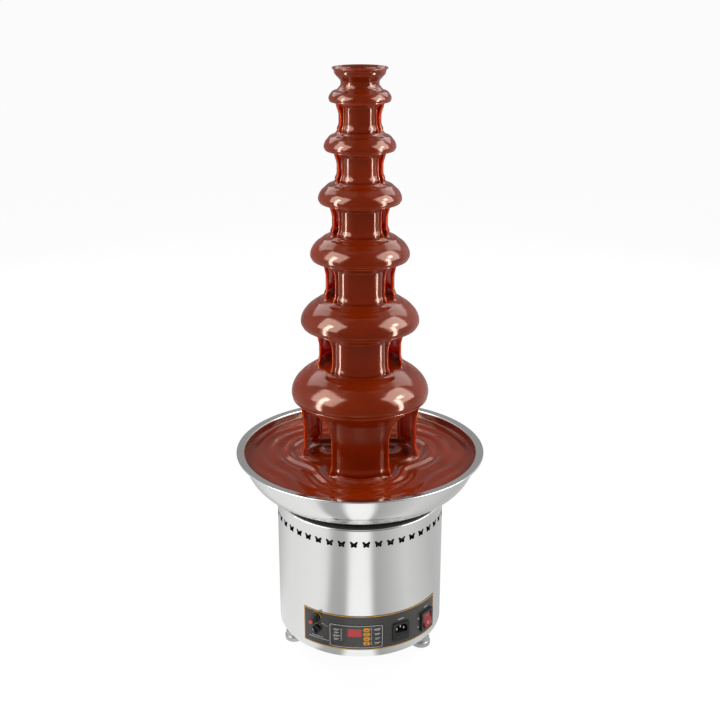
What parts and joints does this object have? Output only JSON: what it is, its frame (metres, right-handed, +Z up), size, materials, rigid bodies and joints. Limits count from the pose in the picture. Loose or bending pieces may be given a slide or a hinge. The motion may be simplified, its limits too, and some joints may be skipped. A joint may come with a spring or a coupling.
{
  "type": "chocolate fountain",
  "caption": "Tall chocolate fountain: steel drum base with a control panel and vents, wide heated basin, and a tiered tower with an auger, under flowing chocolate.",
  "frame": {"origin": "on the table, under the axis of the tower and drum", "axes": "+Z up along the tower, -Y out through the middle of the control panel, +X to the panel's right as seen from the front"},
  "size_m": [0.4419, 0.442, 1.03],
  "materials": {
    "drum_steel": "brushed stainless sheet",
    "foot_chrome": "polished",
    "screw_steel": "zinc plated",
    "basin_steel": "polished stainless sheet",
    "rubber": "matt",
    "heater_aluminium": "cast",
    "black_plastic": "moulded, satin",
    "frame_steel": "zinc primer",
    "gearbox_aluminium": "die cast",
    "drive_brass": "machined",
    "shaft_steel": "turned stainless steel",
    "motor_paint": "black enamel",
    "panel_paint": "dark grey with a gold edge line",
    "display_film": "printed film",
    "display_red": "tinted, clear",
    "board_green": "solder resist",
    "button_orange": "moulded",
    "cap_red": "moulded",
    "control_metal": "stamped",
    "pin_metal": "nickel plated",
    "fuse_glass": "clear",
    "rocker_red": "moulded, translucent red",
    "tower_steel": "spun stainless sheet",
    "chocolate": "liquid gloss"
  },
  "bodies": {
    "base": {"base_shell": "drum_steel", "base_plate": "drum_steel", "machine_screws": "screw_steel", "basin": "basin_steel", "basin_gasket": "rubber", "shaft_seal": "rubber", "heater_ring": "heater_aluminium", "thermostat": "black_plastic", "gear_deck": "frame_steel", "deck_posts": "frame_steel", "gearbox_case": "gearbox_aluminium", "gearbox_cover": "gearbox_aluminium", "shaft_bushes": "drive_brass", "motor_case": "motor_paint", "control_panel": "panel_paint", "display_plate": "display_film", "plate_screws": "screw_steel", "display_window": "display_red", "control_board": "board_green", "speed_pot": "control_metal", "selector_switch": "control_metal", "inlet_housing": "black_plastic", "inlet_pins": "pin_metal", "rocker_frame": "black_plastic", "tower_base": "tower_steel", "tier_1": "tower_steel", "tier_2": "tower_steel", "tier_3": "tower_steel", "tier_4": "tower_steel", "tier_5": "tower_steel", "tier_6": "tower_steel", "crown_cup": "tower_steel", "chocolate_crown": "chocolate", "chocolate_tier_1": "chocolate", "chocolate_tier_2": "chocolate", "chocolate_tier_3": "chocolate", "chocolate_tier_4": "chocolate", "chocolate_tier_5": "chocolate", "chocolate_tier_6": "chocolate", "chocolate_pool": "chocolate"},
    "auger": {"auger_core": "shaft_steel", "auger_flight": "shaft_steel", "drive_shaft": "shaft_steel", "drive_gear": "drive_brass"},
    "motor_rotor": {"motor_rotor": "shaft_steel", "motor_pinion": "drive_brass"},
    "speed_knob": {"speed_knob": "black_plastic", "speed_cap": "cap_red"},
    "selector_knob": {"selector_knob": "black_plastic"},
    "button_1": {"button_1": "button_orange"},
    "button_2": {"button_2": "button_orange"},
    "button_3": {"button_3": "button_orange"},
    "button_4": {"button_4": "button_orange"},
    "rocker": {"rocker": "rocker_red"},
    "fuse_drawer": {"fuse_drawer": "black_plastic", "fuse": "fuse_glass"},
    "foot_left": {"foot_left": "foot_chrome"},
    "foot_right": {"foot_right": "foot_chrome"},
    "foot_rear": {"foot_rear": "foot_chrome"}
  },
  "joints": [
    {"name": "auger_spin", "type": "hinge", "parent": "base", "child": "auger", "pos_m": [0, 0, 0.3], "axis": [0, 0, 1], "continuous": true},
    {"name": "motor_spin", "type": "hinge", "parent": "base", "child": "motor_rotor", "pos_m": [0, 0.045, 0.2], "axis": [0, 0, 1], "continuous": true},
    {"name": "speed_knob_turn", "type": "hinge", "parent": "base", "child": "speed_knob", "pos_m": [-0.0988, -0.11286, 0.0935], "axis": [-0.6587, -0.7524, 0], "range_deg": [-150, 150]},
    {"name": "selector_turn", "type": "hinge", "parent": "base", "child": "selector_knob", "pos_m": [-0.09742, -0.11406, 0.072], "axis": [0.6494, 0.7604, 0], "range_deg": [0, 60]},
    {"name": "button_1_press", "type": "slide", "parent": "base", "child": "button_1", "axis": [0.1028, 0.9947, 0], "range_m": [0, 0.0012], "stiffness_N_per_m": 400},
    {"name": "button_2_press", "type": "slide", "parent": "base", "child": "button_2", "axis": [0.1028, 0.9947, 0], "range_m": [0, 0.0012], "stiffness_N_per_m": 400},
    {"name": "button_3_press", "type": "slide", "parent": "base", "child": "button_3", "axis": [0.1028, 0.9947, 0], "range_m": [0, 0.0012], "stiffness_N_per_m": 400},
    {"name": "button_4_press", "type": "slide", "parent": "base", "child": "button_4", "axis": [0.1028, 0.9947, 0], "range_m": [0, 0.0012], "stiffness_N_per_m": 400},
    {"name": "rocker_tilt", "type": "hinge", "parent": "base", "child": "rocker", "pos_m": [0.09873, -0.11159, 0.0677], "axis": [0.749, 0.6626, 0], "range_deg": [0, 24]},
    {"name": "fuse_drawer_slide", "type": "slide", "parent": "base", "child": "fuse_drawer", "axis": [0.3156, -0.9489, 0], "range_m": [0, 0.015]},
    {"name": "foot_left_turn", "type": "hinge", "parent": "base", "child": "foot_left", "pos_m": [-0.12863, -0.02734, 0.01], "axis": [0, 0, 1], "continuous": true},
    {"name": "foot_right_turn", "type": "hinge", "parent": "base", "child": "foot_right", "pos_m": [0.09772, -0.08799, 0.01], "axis": [0, 0, 1], "continuous": true},
    {"name": "foot_rear_turn", "type": "hinge", "parent": "base", "child": "foot_rear", "pos_m": [0.03404, 0.12702, 0.01], "axis": [0, 0, 1], "continuous": true}
  ],
  "couplings": [
    {"joint": "motor_spin", "follows": "auger_spin", "ratio": -3}
  ]
}
